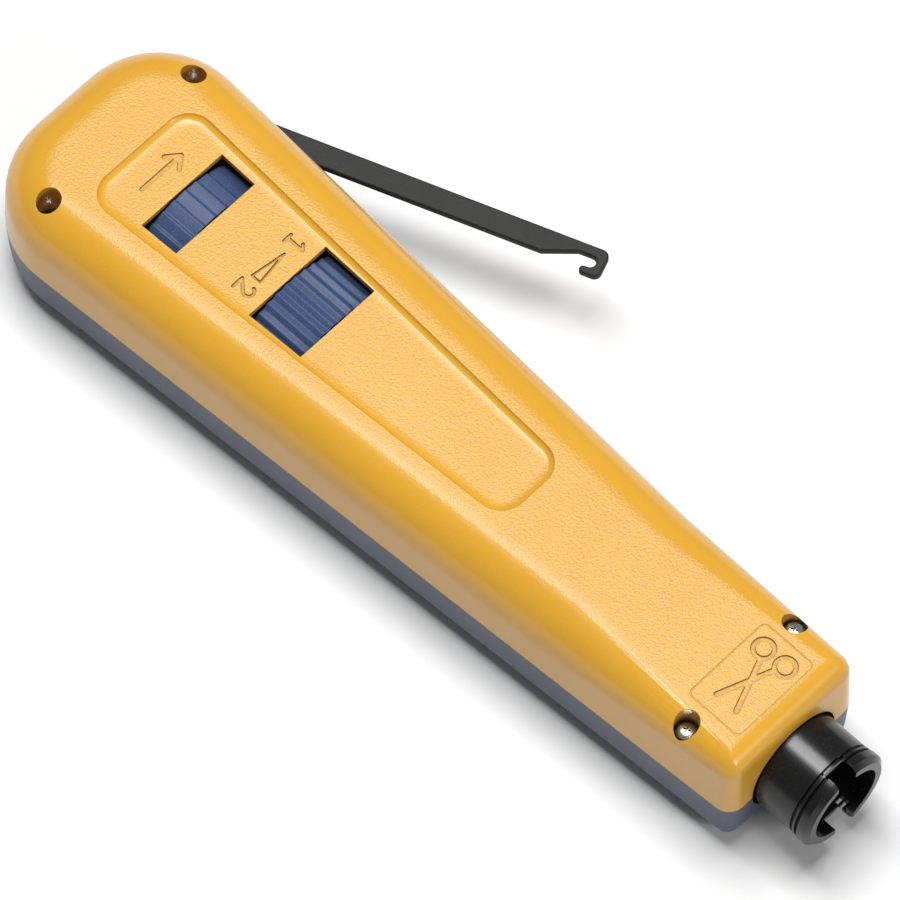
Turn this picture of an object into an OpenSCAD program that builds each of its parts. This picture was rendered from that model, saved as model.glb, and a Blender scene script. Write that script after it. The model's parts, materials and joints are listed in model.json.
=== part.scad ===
// Impact punch-down hand tool.
// The tool axis is the X axis. The origin is the centre of the blade socket's mouth,
// +X points out of the mouth, and +Z points at the front shell with the thumb pieces.

/* [Handle] */
// Length of the moulded handle, butt face to nose face
handle_len = 162.8; // [160:0.2:168]
// Half-width of the handle at the butt face
butt_half_w = 23.2; // [22.5:0.1:24]
// Half-width of the handle at the nose face
nose_half_w = 14.3; // [14.1:0.1:15.5]
// Corner radius of the butt, in plan
butt_corner_r = 16.2; // [14:0.1:18]
// Corner radius of the nose, in plan
nose_corner_r = 3; // [2:0.25:4]
// Height of the front shell's top face above the tool axis
front_h = 14.15; // [14:0.05:14.6]
// Depth of the rear shell's back face below the tool axis
rear_h = 12.9; // [12.8:0.1:14]
// Distance of the seam between the shells below the tool axis
seam_drop = 0.5; // [0.4:0.1:0.9]
// Edge radius round the top face
front_edge_r = 8.8; // [8:0.1:9.5]
// Edge radius of the top face at the nose
nose_edge_r = 4.2; // [3.5:0.1:5]
// Length at the nose over which the edge radius tapers down
flare_len = 38; // [32:1:44]
// Edge radius round the back face
rear_edge_r = 6; // [4:0.5:7]
// Wall thickness of both shells
wall = 2; // [1.8:0.1:2.1]
// Depth of the thumb scallop in the side, over the folded blades
scallop_depth = 0.7; // [0.4:0.1:1]
// Radius of the thumb scallop
scallop_r = 80; // [60:5:100]
// Lean of the thumb scallop, in degrees
scallop_lean = 6; // [4:1:8]

/* [Recessed panel] */
// Distance of the panel's butt end from the butt face
panel_butt_gap = 17.9; // [16.5:0.1:19]
// Length of the recessed panel
panel_len = 88.4; // [84:0.5:92]
// Distance of the panel's edge inside the handle's side
panel_margin = 10.3; // [9.9:0.1:11]
// Depth of the panel's floor
panel_depth = 0.95; // [0.7:0.05:1]
// Width of the cove round the panel's floor
panel_cove = 2.2; // [1.5:0.1:3]
// Corner radius of the panel
panel_corner_r = 4.6; // [4:0.2:6]

/* [Thumb pieces] */
// Distance of the release window's middle from the butt face
release_from_butt = 31.8; // [31.2:0.2:32.6]
// Width of the release window along the tool
release_window = 7.6; // [7:0.2:8]
// Half-length of the release window across the tool
release_half = 8.95; // [8.6:0.05:9.1]
// Distance of the impact window's middle from the butt face
impact_from_butt = 57.3; // [56.8:0.1:57.8]
// Width of the impact window along the tool
impact_window = 11.2; // [10.6:0.2:12]
// Half-length of the impact window across the tool
impact_half = 8.5; // [8.2:0.05:8.8]
// Radius of the thumb pieces' ribbed surface
pad_r = 16; // [15:0.5:17]
// Turn of the release piece that frees the blade, in degrees
release_turn = 14; // [12:1:15]
// Turn of the impact piece from high to low, in degrees
impact_turn = 18; // [16:1:18]
// Travel of the spring seat from high to low impact
seat_travel = 1.5; // [1:0.1:1.6]

/* [Blade socket] */
// Length of the socket that shows in front of the nose
socket_out = 11.2; // [10.6:0.1:12.5]
// Diameter of the socket's barrel
socket_d = 17.5; // [17.3:0.05:17.6]
// Diameter of the lip round the mouth
lip_d = 18; // [17.8:0.05:18.2]
// Diameter of the mouth
mouth_d = 13.5; // [12.8:0.1:14]
// Depth of the mouth
mouth_depth = 10.5; // [9:0.5:12]
// Diameter of the bore for the blade's shank
shank_d = 9.9; // [9.4:0.1:10.2]
// Width of the two key slots in the lip
key_w = 4; // [3.5:0.1:4.2]
// Depth of the two key slots
key_depth = 3; // [2.6:0.1:3.4]
// Stroke of the socket into the handle
stroke = 10; // [8:0.5:10]

/* [Impact mechanism] */
// Outer diameter of the guide tube
tube_d = 16.4; // [16.2:0.1:16.5]
// Wall of the guide tube
tube_wall = 1; // [0.9:0.1:1.1]
// Diameter of the plunger rod
rod_d = 8; // [7.6:0.2:8.4]
// Diameter of the rod's trip end
trip_d = 4; // [3.8:0.1:4.1]
// Length of the hammer
hammer_len = 22; // [20:1:23]
// Free flight of the hammer before it strikes the rod
flight = 7.5; // [6:0.5:8]
// Thickness of the hammer's latch plate
latch_t = 3; // [2.5:0.25:3.5]
// Throw of the latch plate from offset to in line
latch_throw = 1.2; // [1:0.1:1.3]
// Distance of the spring seat's face in front of the impact window's middle
seat_ahead = 3.8; // [3.2:0.1:4.4]
// Wire diameter of the drive spring
drive_wire = 1.5; // [1.2:0.1:1.6]
// Wire diameter of the return spring
return_wire = 1.1; // [0.9:0.1:1.2]

/* [Folding blades] */
// Distance of the blades' pivot, and of both butt screws, from the butt face
pivot_from_butt = 14.3; // [13.8:0.1:15]
// Distance of the butt screws from the centreline
butt_screw_y = 16.3; // [16:0.1:16.6]
// Length of the hook blade from its pivot to its end
hook_len = 72.2; // [70:0.2:73]
// Width of the folding blades
blade_w = 4.2; // [4:0.1:4.6]
// Thickness of the folding blades
blade_t = 1.5; // [1.3:0.1:1.5]
// Angle of the hook blade as it stands open, in degrees
hook_open = 20.7; // [10:0.1:40]
// Angle of a folded blade, in degrees
fold_angle = -1; // [-1.2:0.1:-0.5]
// Height of the blades' bay above the seam
bay_h = 4.1; // [4:0.1:4.5]

/* [Screws] */
// Distance of the nose screws from the nose face
nose_screw_x = 11.8; // [11.5:0.1:12.1]
// Distance of the nose screws from the centreline
nose_screw_y = 12.15; // [12.1:0.05:12.25]
// Diameter of the screw wells
well_d = 4.2; // [4:0.1:4.4]
// Diameter of the screw heads
head_d = 3.8; // [3.6:0.1:3.9]
// Diameter of the screw shanks
screw_d = 2.6; // [2.4:0.1:2.7]

/* [Fits] */
// Radial clearance of pieces that turn or slide on each other
run_gap = 0.05; // [0.03:0.01:0.08]
// Clearance between pieces that stay apart
free_gap = 0.3; // [0.2:0.05:0.35]

/* [Hidden] */
$fn = 64;

YELLOW = [0.92, 0.66, 0.22];
SLATE = [0.38, 0.40, 0.46];
NAVY = [0.23, 0.29, 0.50];
BLACK = [0.12, 0.12, 0.13];
STEEL = [0.70, 0.71, 0.73];
BRASS = [0.78, 0.64, 0.34];

eps = 0.01;
big = 60;

// Stations along the handle
nose_x = -socket_out;
butt_x = nose_x - handle_len;
flare_x = nose_x - flare_len;
seam_z = -seam_drop;
roof_z = front_h - wall;
floor_z = wall - rear_h;
wall_draft = 0.3;
side_slope = (butt_half_w - nose_half_w) / handle_len;
side_a = atan(side_slope);
loft_steps = 10;

// Panel and windows
panel_x0 = butt_x + panel_butt_gap;
panel_x1 = panel_x0 + panel_len;
panel_z = front_h - panel_depth;
release_x = butt_x + release_from_butt;
impact_x = butt_x + impact_from_butt;
window_taper = 0.03;

// Socket
socket_r = socket_d / 2;
lip_r = lip_d / 2;
lip_x = -2.3;
lip_chamfer = 0.9;
band_x = [-3.2, -2.8];
band_rise = 0.1;
groove_x = -3.8;
groove_depth = 0.6;
turn_slot_half = 1.6;
turn_slot_rise = 0.9;
turn_slot_wall = 1.1;
nose_inner_x = nose_x - wall - 1;
bearing_wall = 1.2;
bearing_r = socket_r + run_gap + bearing_wall;
bearing_len = 11.2;
bearing_x = nose_inner_x - bearing_len;
bumper_t = 1.15;
shoulder_x = bearing_x - bumper_t - free_gap / 2;
shoulder_t = 1.4;
shoulder_r = socket_r + 1.15;
lock_x = shoulder_x - shoulder_t - 0.1;
lock_len = 6;
clip_x = lock_x - lock_len - 0.1;
clip_t = 1;
clip_depth = 0.5;
socket_rear = clip_x - clip_t - 3.8;
spigot_d = 6;
spigot_len = 5.5;
spigot_x = socket_rear + spigot_len;
pin_d = 1.6;
pin_x = socket_rear + 2;
dog_w = 2.4;
dog_x = lock_x - lock_len / 2;
dog_gap = 0.2;
dog_swing = 2.5;

// Guide tube and rod
return_len = stroke + 5;
tube_x = socket_rear - return_len;
flange_t = 2;
flange_r = tube_d / 2 + 1.4;
flange_block = [tube_x - flange_t - 3.5, tube_x + 1.5];
tube_r = tube_d / 2;
tube_in_r = tube_r - tube_wall;
rod_r = rod_d / 2;
strike_x = tube_x - flange_t - 2.3;
hammer_x = strike_x - flight;
hammer_rear = hammer_x - hammer_len;
hammer_r = tube_in_r - run_gap;
guide_r = rod_r + 2.2;
latch_x = hammer_x - 8.7;
latch_w = 7;
latch_top = 3.4;
latch_pocket = 5.6;
latch_reach = tube_r - 0.1;
trip_x = latch_x + 0.15;
trip_r = trip_d / 2;
seat_x = impact_x + seat_ahead;
seat_t = 3;
drive_r = 5.4;
drive_pitch = 3.6;
drive_turns = max(2, round((hammer_rear - seat_x) / drive_pitch));
return_r = rod_r + 0.5 + return_wire / 2;

// Cam between the impact selector and the spring seat
cam_arm = 9;
lug_w = 4;
lug_reach = tube_r + 1.4;
cam_gap = 0.25;
cam_slope = seat_travel / (cam_arm * sin(impact_turn));
cam_x = seat_x - seat_t - cam_gap;

// Collars of the thumb pieces
collar_in_r = tube_r + run_gap;
collar_r = tube_r + 1.5;
selector_rear = impact_x - impact_window / 2 - 3;
selector_front = impact_x + impact_window / 2 + 3;
ring_rear = release_x - release_window / 2 - 0.7;
ring_front = release_x + release_window / 2 + 0.7;
pad_top = panel_z + 0.1;
pad_cz = pad_top - pad_r;
undercut = [6.8, 7.6];
tube_rear = ring_rear - 6.4;

// Detent of the impact selector, below the tool's side
detent_a = 19;
bead_r = 0.55;
bead_at = collar_r + bead_r + 0.03;
leaf_gap = 0.2;
leaf_t = 0.38;

// Release bar, under the mechanism
bar_w = 3;
bar_t = 0.8;
bar_z = -(collar_r + 0.5);
bar_slack = 0.08;
ear_w = 4.8;
ear_z = bar_z - bar_t;
ear_reach = norm([ear_w / 2, ear_z]) + 0.15;

// Ribs that cradle the guide tube
rib_t = 2;
rib_gap = 0.4;
ribs = [
    strike_x - 22, selector_front + rib_gap, selector_rear - rib_gap - rib_t,
    ring_front + rib_gap, tube_rear + 1, tube_rear - 4.4
];
collar_room = 9;

// Blades and their bay
pivot_x = butt_x + pivot_from_butt;
blade_gap = (bay_h - 2 * blade_t) / 3;
spudger_z = seam_z + blade_gap;
hook_z = spudger_z + blade_t + blade_gap;
bay_z = seam_z + bay_h;
bay_y = 11.4;
bay_wall = 1.2;
bay_shelf = 1.5;
bay_end = pivot_x + hook_len + 1;
sleeve_r = 2.8;
eye_r = sleeve_r + run_gap;
spudger_len = hook_len - 5;

// Screws
boss_r = 3.6;
head_h = 1.9;
butt_head_z = bay_z + 1.6;
nose_head_z = butt_head_z + 4;
screw_end = floor_z + 1.6;
nose_screw = [nose_x - nose_screw_x, nose_screw_y];
butt_screw = [pivot_x, butt_screw_y];

// Points of an arc; a vanishing radius gives its centre alone
function arc(c, r, a0, a1, n = 10) =
    r < 0.05 ? [c] :
    [for (i = [0 : n]) c + r * [cos(a0 + (a1 - a0) * i / n), sin(a0 + (a1 - a0) * i / n)]];

// Half-width of the handle at x, at the seam
function half_w(x) = butt_half_w - side_slope * (x - butt_x);

// A side of points and its mirror image, as one closed loop
function closed(p) = concat(p, [for (i = [len(p) - 1 : -1 : 0]) let (q = p[i])
    len(q) == 2 ? [q.x, -q.y] : [q.x, -q.y, q.z]]);

// Points of an arc at height z
function arc_at(c, r, a0, a1, n, z) = [for (p = arc(c, r, a0, a1, n)) [p.x, p.y, z]];

// One ring of the handle's skin: drawn in by t at height z, but by tn at height zn at the nose
function ring(t, z, tn, zn) =
    let (
        b = max(butt_corner_r - t, 0.5),
        n = max(nose_corner_r - tn, 0.3),
        tb = t + b,
        xn = nose_x - tn - n
    )
    closed(concat(
        arc_at([butt_x + tb, butt_half_w - tb * (tan(side_a) + 1 / cos(side_a))],
               b, 180, 90 - side_a, 12, z),
        [[flare_x, half_w(flare_x) - t / cos(side_a), z]],
        arc_at([xn, half_w(xn) - tn - n], n, 90, 0, 5, zn)
    ));

// Half-width of the recessed panel at x
function panel_half(x) = half_w(x) - panel_margin;

// Outline of the recessed panel, drawn in by t
function panel_outline(t) =
    let (r = panel_corner_r - t, x0 = panel_x0 + panel_corner_r, x1 = panel_x1 - panel_corner_r)
    closed(concat(
        arc([x0, panel_half(x0) - panel_corner_r], r, 180, 90 - side_a),
        arc([x1, panel_half(x1) - panel_corner_r], r, 90 - side_a, 0)
    ));

// Solid round bar along X
module bar(x0, x1, r) {
    translate([min(x0, x1), 0, 0]) rotate([0, 90, 0]) cylinder(h = abs(x1 - x0), r = r);
}

// Round tube along X
module pipe(x0, x1, ro, ri) {
    difference() {
        bar(x0, x1, ro);
        bar(min(x0, x1) - 1, max(x0, x1) + 1, ri);
    }
}

// Box between two corners
module block(a, b) {
    translate(a) cube(b - a);
}

// Closed solid through convex rings of as many points each, an even number, lowest first
module skin(rings) {
    n = len(rings[0]);
    m = len(rings);
    top = (m - 1) * n;
    sides = [for (i = [0 : m - 2]) for (k = [0 : n - 1]) let (a = i * n, b = a + n, j = (k + 1) % n) each [
        [a + k, a + j, b + j],
        [a + k, b + j, b + k]
    ]];
    ends = [for (k = [0 : n / 2 - 2]) each [
        [n - 1 - k, n - 2 - k, k + 1, k],
        [top + k, top + k + 1, top + n - 2 - k, top + n - 1 - k]
    ]];
    polyhedron(points = [for (r = rings) each r], faces = concat(sides, ends));
}

// Front half of the handle, drawn in by g, from z0 up
module front_form(g, z0) {
    r = front_edge_r - g;
    rn = nose_edge_r - g;
    t = g + wall_draft;
    top = front_h - g;
    skin(concat([ring(g, z0, g, z0)], [for (i = [0 : loft_steps])
        let (a = 90 * i / loft_steps, u = 1 - cos(a), v = 1 - sin(a))
        ring(t + r * u, top - r * v, t + rn * u, top - rn * v)]));
}

// Rear half of the handle, drawn in by g, from z0 down
module rear_form(g, z0) {
    r = rear_edge_r - g;
    t = g + wall_draft;
    skin(concat([for (i = [loft_steps : -1 : 0])
        let (a = 90 * i / loft_steps, u = 1 - cos(a), v = 1 - sin(a), z = g - rear_h + r * v)
        ring(t + r * u, z, t + r * u, z)], [ring(g, z0, g, z0)]));
}

// The recessed panel, with a cove round its floor
module panel_recess() {
    hull() for (i = [0 : 6])
        let (a = 90 * i / 6)
        translate([0, 0, front_h - panel_depth * sin(a)])
            linear_extrude(1) polygon(panel_outline(panel_cove * (1 - cos(a))));
}

// Window for a thumb piece, narrower towards the nose
module window(x, w, half) {
    d = window_taper * w / 2;
    translate([0, 0, roof_z - 2]) linear_extrude(big) polygon([
        [x - w / 2, -half - d], [x + w / 2, -half + d], [x + w / 2, half - d], [x - w / 2, half + d]
    ]);
}

// Places of the screws: the nose pair, then the butt pair
module at_screws(p) {
    for (s = [-1, 1]) translate([p.x, s * p.y, 0]) children();
}

// Shallow scallop beside the folded blades, leaning in with the side
module scallop() {
    x = impact_x - 3;
    translate([x, half_w(x) + scallop_r - scallop_depth, seam_z - 2]) rotate([scallop_lean, 0, 0])
        cylinder(h = front_h, r = scallop_r, $fn = 200);
}

// Transverse ribs and the blocks at the nose and at the tube's flange
module cradle_stock(z0, z1) {
    for (x = ribs) block([x, -big / 2, z0], [x + rib_t, big / 2, z1]);
    block([flange_block[0], -big / 2, z0], [flange_block[1], big / 2, z1]);
    block([bearing_x, -big / 2, z0], [nose_inner_x + 1, big / 2, z1]);
}

// Room under the windows for the thumb pieces' collars
module collar_rooms() {
    for (x = [release_x, impact_x])
        block([x - collar_room, -big, bay_z + bay_shelf], [x + collar_room, big, front_h]);
}

// Everything inside the shells that the cradles must leave room for
module mechanism_room() {
    bar(tube_rear - 1.9, 0, tube_r + run_gap);
    bar(tube_x - flange_t - run_gap, tube_x + run_gap, flange_r + run_gap);
    bar(bearing_x - 1, nose_inner_x, bearing_r);
    bar(bearing_x - 1, 1, lip_d / 2 + 0.25);
    rotate([-release_turn, 0, 0]) bar_room();
    bar_room();
    ear_room(ring_rear - free_gap, ring_front + free_gap);
    ear_room(lock_x - lock_len - stroke - 1, lock_x + 1);
}

// Channel that the release bar swings in
module bar_room() {
    block([ring_rear - 1, -bar_w / 2 - 2.2, bar_z - bar_t - 0.25],
          [lock_x + 1, bar_w / 2 + 0.6, bar_z + 0.4]);
}

// Room that the ears round the release bar swing in
module ear_room(x0, x1) {
    intersection() {
        bar(x0, x1, ear_reach);
        block([x0, -ear_w - 1.2, -big], [x1, ear_w - 1.8, 0]);
    }
}

// The bay that the blades fold into, open through the side and the butt
module bay() {
    block([butt_x - 5, bay_y, seam_z - 1], [bay_end, big / 2, bay_z]);
}

// Wall and shelf round the bay, between two heights
module bay_wall_stock(z0, z1) {
    block([butt_x, bay_y - bay_wall, z0], [bay_end + bay_wall, big / 2, z1]);
}

// Bosses round all four screws, between two heights
module bosses(z0, z1) {
    for (p = [nose_screw, butt_screw])
        at_screws(p) translate([0, 0, z0]) cylinder(h = z1 - z0, r = boss_r);
}

// Clearance holes of all four screws, from z0 up
module screw_holes(z0) {
    for (p = [nose_screw, butt_screw])
        at_screws(p) translate([0, 0, z0]) cylinder(h = big, r = screw_d / 2 + run_gap);
}

// Wells over one pair of screw heads, from z up
module wells(p, z) {
    at_screws(p) translate([0, 0, z]) cylinder(h = big, r = well_d / 2);
}

module front_shell() {
    color(YELLOW) difference() {
        union() {
            difference() {
                front_form(0, seam_z);
                front_form(wall, seam_z - 1);
            }
            intersection() {
                front_form(wall / 2, seam_z);
                union() {
                    difference() {
                        cradle_stock(seam_z, front_h);
                        collar_rooms();
                    }
                    difference() {
                        bay_wall_stock(seam_z, bay_z + bay_shelf);
                        bay();
                    }
                    bosses(seam_z, front_h);
                }
            }
        }
        panel_recess();
        window(release_x, release_window, release_half);
        window(impact_x, impact_window, impact_half);
        scallop();
        bay();
        mechanism_room();
        wells(nose_screw, nose_head_z);
        wells(butt_screw, butt_head_z);
        screw_holes(seam_z - 1);
    }
}

module rear_shell() {
    color(SLATE) difference() {
        union() {
            difference() {
                rear_form(0, seam_z);
                rear_form(wall, seam_z + 1);
            }
            intersection() {
                rear_form(wall / 2, seam_z);
                union() {
                    cradle_stock(-rear_h, seam_z);
                    bay_wall_stock(seam_z - bay_shelf, seam_z);
                    bosses(-rear_h, seam_z);
                    block([selector_rear + rib_gap, -collar_r - 3.6, -rear_h],
                          [selector_front - rib_gap, -collar_r - leaf_gap - leaf_t, seam_z]);
                }
            }
        }
        mechanism_room();
        screw_holes(screw_end - 0.5);
    }
}

// Pan-head screw with a cross recess, its head seated at z
module screw(z) {
    difference() {
        union() {
            translate([0, 0, screw_end]) cylinder(h = z - screw_end + eps, r = screw_d / 2);
            translate([0, 0, z]) cylinder(h = head_h, r1 = head_d / 2, r2 = head_d / 2 - 0.5);
        }
        for (a = [0, 90]) rotate(a) block([-1.2, -0.3, z + head_h - 1], [1.2, 0.3, z + head_h + 1]);
    }
}

module nose_screws() {
    color(STEEL) at_screws(nose_screw) screw(nose_head_z);
}

module butt_screws() {
    color(STEEL) at_screws(butt_screw) screw(butt_head_z);
}

module nose_bearing() {
    color(BRASS) pipe(bearing_x, nose_inner_x, bearing_r, socket_r + run_gap);
}

module bumper_ring() {
    color(BLACK) pipe(bearing_x - bumper_t, bearing_x, bearing_r, socket_r + run_gap);
}

module guide_tube() {
    color(STEEL) difference() {
        union() {
            bar(tube_x, tube_x - flange_t, flange_r);
            bar(tube_rear, tube_x - eps, tube_r);
        }
        bar(tube_rear - 1, hammer_x, tube_in_r);
        bar(hammer_x - 1, tube_x - flange_t, guide_r);
        bar(tube_x - flange_t - 1, tube_x + 1, rod_r + run_gap);
        block([latch_x - latch_t - stroke - 0.4, -latch_w / 2 - 0.3, -tube_d],
              [latch_x + 0.3, latch_w / 2 + 0.3, 0]);
        block([cam_x - seat_travel - 1.6, -tube_d, -lug_w / 2 - 0.15],
              [seat_x + 0.5, tube_d, lug_w / 2 + 0.15]);
    }
}

module tube_plug() {
    color(BLACK) {
        bar(tube_rear - 2, tube_rear, tube_r);
        bar(tube_rear - eps, tube_rear + 4, tube_in_r - run_gap);
    }
}

// Sleeve that both blades turn on, clamped between the screw bosses
module blade_pivot() {
    color(BRASS) translate([butt_screw.x, butt_screw.y, seam_z]) difference() {
        cylinder(h = bay_h, r = sleeve_r);
        translate([0, 0, -1]) cylinder(h = bay_h + 2, r = screw_d / 2 + run_gap);
    }
}

// Three thin washers that keep the blades apart
module pivot_washers() {
    t = blade_gap - 0.06;
    color(STEEL) for (z = [seam_z, spudger_z + blade_t, hook_z + blade_t])
        translate([butt_screw.x, butt_screw.y, z + 0.03]) difference() {
            cylinder(h = t, r = eye_r + 0.7);
            translate([0, 0, -1]) cylinder(h = t + 2, r = eye_r);
        }
}

// Leaf spring whose bead drops into the impact selector's notches
module detent_spring() {
    z = -bead_at * sin(detent_a);
    color(STEEL) {
        block([selector_rear + 1, -collar_r - leaf_gap - leaf_t, z - 3],
              [selector_front - 1, -collar_r - leaf_gap, z + 1.2]);
        translate([impact_x, -bead_at * cos(detent_a), z]) rotate([0, 90, 0])
            cylinder(h = 3, r = bead_r, center = true, $fn = 24);
    }
}

// Points of one section of a coil along X, at turn fraction u
function coil_ring(u, turns, x0, x1, r, w, n) =
    let (a = 360 * turns * u, x = x0 + (x1 - x0) * u)
    [for (k = [0 : n - 1])
        let (b = 360 * k / n, q = r + w * cos(b)) [x + w * sin(b), q * cos(a), q * sin(a)]];

// Coil spring along X from x0 to x1, wire radius w, mean radius r
module coil(x0, x1, r, w, turns) {
    m = round(turns * 14);
    skin([for (i = [0 : m]) coil_ring(i / m, turns, x0 + w, x1 - w, r, w, 6)]);
}

module release_spring() {
    color(STEEL) coil(ring_rear - 2.9, ring_rear - 0.15, tube_r + 0.75, 0.4, 2.5);
}

// Outer outline of the socket's barrel, from the mouth back, as [x, radius]
function socket_profile() = [
    [spigot_x - spigot_len, 0], [socket_rear, socket_r - 0.4], [socket_rear + 0.4, socket_r],
    [clip_x - clip_t - 0.05, socket_r], [clip_x - clip_t - 0.05, socket_r - clip_depth],
    [clip_x + 0.05, socket_r - clip_depth], [clip_x + 0.05, socket_r],
    [shoulder_x - shoulder_t, socket_r], [shoulder_x - shoulder_t, shoulder_r],
    [shoulder_x, shoulder_r], [shoulder_x, socket_r],
    [groove_x, socket_r], [groove_x, socket_r - groove_depth],
    [band_x[0], socket_r - groove_depth], [band_x[0], socket_r + band_rise],
    [band_x[1], socket_r + band_rise], [band_x[1], socket_r - groove_depth],
    [lip_x, socket_r - groove_depth], [lip_x, lip_r - 0.15], [lip_x + 0.15, lip_r],
    [-lip_chamfer, lip_r], [0, lip_r - lip_chamfer], [0, 0]
];

module blade_socket() {
    color(BLACK) difference() {
        rotate([0, 90, 0]) rotate_extrude($fn = 96)
            polygon([for (p = socket_profile()) [p[1], p[0]]]);
        bar(-mouth_depth, 1, mouth_d / 2);
        bar(spigot_x + 0.5, 0, shank_d / 2);
        bar(socket_rear - 1, spigot_x + 1, spigot_d / 2 + 0.02);
        block([-key_depth, -key_w / 2, -lip_d], [1, key_w / 2, lip_d]);
        block([-key_depth - turn_slot_half, -key_w / 2, turn_slot_wall - lip_r],
              [-key_depth + turn_slot_half, key_w / 2 + turn_slot_rise, lip_r - turn_slot_wall]);
        for (s = [0, 180]) rotate([s, 0, 0])
            block([dog_x - dog_w / 2 - dog_gap, 4, -dog_w / 2 - dog_swing],
                  [dog_x + dog_w / 2 + dog_gap, lip_d, dog_w / 2 + free_gap]);
        translate([pin_x, 0, 0]) cylinder(h = big, r = pin_d / 2 + 0.02, center = true, $fn = 32);
    }
}

// Open spring clip behind the lock ring
module socket_clip() {
    color(STEEL) difference() {
        pipe(clip_x - clip_t, clip_x, socket_r + 1.1, socket_r - clip_depth + 0.05);
        block([clip_x - 3, -2.5, 0], [clip_x + 1, 2.5, big]);
    }
}

module plunger_rod() {
    color(STEEL) difference() {
        union() {
            bar(socket_rear - eps, spigot_x, spigot_d / 2);
            bar(strike_x, socket_rear, rod_r);
            bar(trip_x, strike_x + eps, trip_r);
        }
        translate([pin_x, 0, 0]) cylinder(h = big, r = pin_d / 2 + 0.02, center = true, $fn = 32);
    }
}

module rod_pin() {
    color(STEEL) translate([pin_x, 0, 0])
        cylinder(h = socket_d - 0.6, r = pin_d / 2, center = true, $fn = 32);
}

module return_spring() {
    color(STEEL) coil(tube_x + 0.1, socket_rear - 0.1, return_r, return_wire / 2, 4);
}

// Ring round the socket whose two dogs reach in to hold the blade
module lock_ring() {
    color(BRASS) difference() {
        union() {
            pipe(lock_x - lock_len, lock_x, shoulder_r + 0.1, socket_r + run_gap);
            for (s = [0, 180]) rotate([s, 0, 0])
                block([dog_x - dog_w / 2, shank_d / 2 + 0.3, -dog_w / 2],
                      [dog_x + dog_w / 2, socket_r + 1, dog_w / 2]);
            block([lock_x - lock_len, -ear_w / 2, ear_z], [lock_x, ear_w / 2, -socket_r - 0.6]);
        }
        block([lock_x - lock_len - 1, -bar_w / 2 - bar_slack, bar_z - bar_t - bar_slack],
              [lock_x + 1, bar_w / 2 + bar_slack, bar_z + bar_slack]);
    }
}

module hammer() {
    color(STEEL) difference() {
        bar(hammer_rear, hammer_x, hammer_r);
        bar(hammer_rear + 3, hammer_x + 1, trip_r + 0.1);
        block([latch_x - latch_t - run_gap, -latch_w / 2 - run_gap, -big / 2],
              [latch_x + run_gap, latch_w / 2 + run_gap, latch_pocket]);
    }
}

module drive_spring() {
    color(STEEL) coil(seat_x + 0.1, hammer_rear - 0.1, drive_r, drive_wire / 2, drive_turns);
}

// Plate that blocks the trip end until its hole comes in line
module hammer_latch() {
    color(BRASS) difference() {
        intersection() {
            block([latch_x - latch_t, -latch_w / 2, -latch_reach], [latch_x, latch_w / 2, latch_top]);
            bar(latch_x - latch_t, latch_x, latch_reach);
        }
        translate([0, 0, -latch_throw]) bar(latch_x - latch_t - 1, latch_x + 1, trip_r + 0.15);
    }
}

module latch_spring() {
    color(STEEL) translate([latch_x - latch_t / 2, 0, 0]) rotate([0, -90, 0])
        coil(latch_top + 0.05, latch_pocket - 0.05, 0.9, 0.15, 3);
}

// Disc behind the drive spring; its lugs reach through the tube to the selector's cam
module spring_seat() {
    w = lug_w / 2;
    color(BRASS) {
        bar(seat_x - seat_t, seat_x, tube_in_r - run_gap);
        bar(seat_x - eps, seat_x + 2.5, drive_r - drive_wire / 2 - 0.4);
        for (s = [0, 180]) rotate([s, 0, 0]) translate([0, lug_reach, 0]) rotate([90, 0, 0])
            linear_extrude(lug_reach - 4) polygon([
                [cam_x + cam_gap + cam_slope * w, -w], [seat_x, -w],
                [seat_x, w], [cam_x + cam_gap - cam_slope * w, w]
            ]);
    }
}

// Height of a wavy rib, and of a saw-tooth rib, at the fraction f of its pitch
function wave(f) = 0.22 * cos(360 * f);
function saw(f) = 0.32 * (0.5 - abs(f - 0.86) / (f < 0.86 ? 0.86 : 0.14));

// Cross-section of a thumb piece: ribbed arc from y0 to y1 on its collar, as [y, z]; its
// leading end is undercut, to pass over the blades' bay
function pad_section(y0, y1, pitch, toothed) =
    let (
        a0 = asin(y0 / pad_r),
        a1 = asin(y1 / pad_r),
        step = pitch / pad_r * 180 / PI,
        ribs_n = floor((a1 - a0) / step),
        fr = toothed ? [0, 0.43, 0.86] : [0, 0.17, 0.33, 0.5, 0.67, 0.83]
    )
    concat(
        [[-collar_r + 0.8, 0]],
        [for (i = [0 : ribs_n - 1]) for (f = fr)
            let (a = a0 + step * (i + f), r = pad_r - 0.25 + (toothed ? saw(f) : wave(f)))
            [r * sin(a), pad_cz + r * cos(a)]],
        [[pad_r * sin(a1) - 0.3, pad_cz + pad_r * cos(a1) - 0.3], undercut, [collar_r - 0.8, 0]]
    );

// Thumb piece: a collar on the guide tube with a ribbed pad in its window
module thumb_piece(x0, x1, x, w, y0, y1, pitch, toothed) {
    difference() {
        union() {
            bar(x0, x1, collar_r);
            translate([x - w / 2 + free_gap, 0, 0]) rotate([90, 0, 90])
                linear_extrude(w - 2 * free_gap) polygon(pad_section(y0, y1, pitch, toothed));
        }
        bar(x0 - 1, x1 + 1, collar_in_r);
    }
}

// How far a pad's trailing end runs past its window, so that it still fills it when turned
function trail(half, turn) = -(half + pad_top * sin(turn) + 0.5);

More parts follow.
